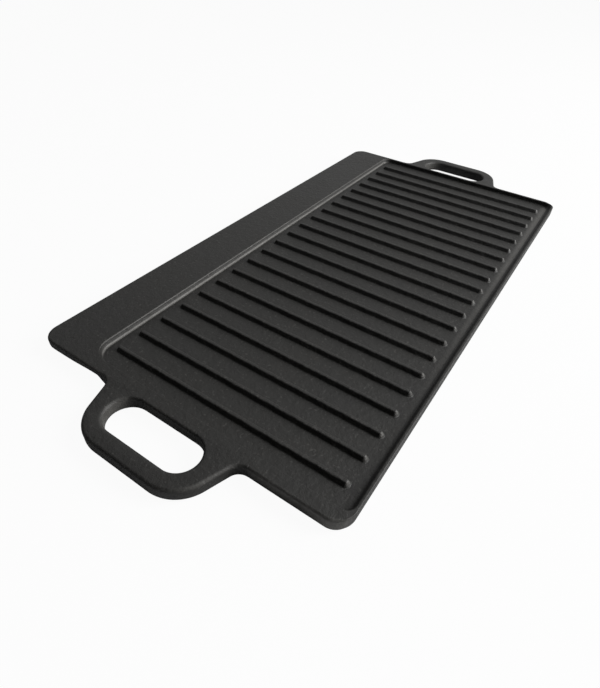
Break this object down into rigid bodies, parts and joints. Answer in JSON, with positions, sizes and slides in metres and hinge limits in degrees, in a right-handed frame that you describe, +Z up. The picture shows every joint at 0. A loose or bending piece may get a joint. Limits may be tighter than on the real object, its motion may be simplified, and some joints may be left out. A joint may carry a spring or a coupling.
{
  "type": "camp griddle plate",
  "caption": "Cast-iron camp griddle plate: a ridged pan with a flat ledge beside it, a loop handle at each end, and a flat rimmed cooking face underneath.",
  "frame": {"origin": "on the surface that the plate stands on, under the middle of the plate", "axes": "+X along the plate towards the far handle, +Y across the plate towards the flat ledge, +Z up out of the ridged face"},
  "size_m": [0.507, 0.233, 0.012],
  "materials": {
    "seasoned_iron": "seasoned satin black with a fine sand-cast grain"
  },
  "bodies": {
    "root": {"pan_floor": "seasoned_iron", "ledge": "seasoned_iron", "near_rim": "seasoned_iron", "far_rim": "seasoned_iron", "side_rim": "seasoned_iron", "near_handle": "seasoned_iron", "far_handle": "seasoned_iron", "near_foot": "seasoned_iron", "far_foot": "seasoned_iron", "side_foot": "seasoned_iron", "ridge_01": "seasoned_iron", "ridge_02": "seasoned_iron", "ridge_03": "seasoned_iron", "ridge_04": "seasoned_iron", "ridge_05": "seasoned_iron", "ridge_06": "seasoned_iron", "ridge_07": "seasoned_iron", "ridge_08": "seasoned_iron", "ridge_09": "seasoned_iron", "ridge_10": "seasoned_iron", "ridge_11": "seasoned_iron", "ridge_12": "seasoned_iron", "ridge_13": "seasoned_iron", "ridge_14": "seasoned_iron", "ridge_15": "seasoned_iron", "ridge_16": "seasoned_iron", "ridge_17": "seasoned_iron", "ridge_18": "seasoned_iron", "ridge_19": "seasoned_iron", "ridge_20": "seasoned_iron", "ridge_21": "seasoned_iron"}
  },
  "joints": []
}
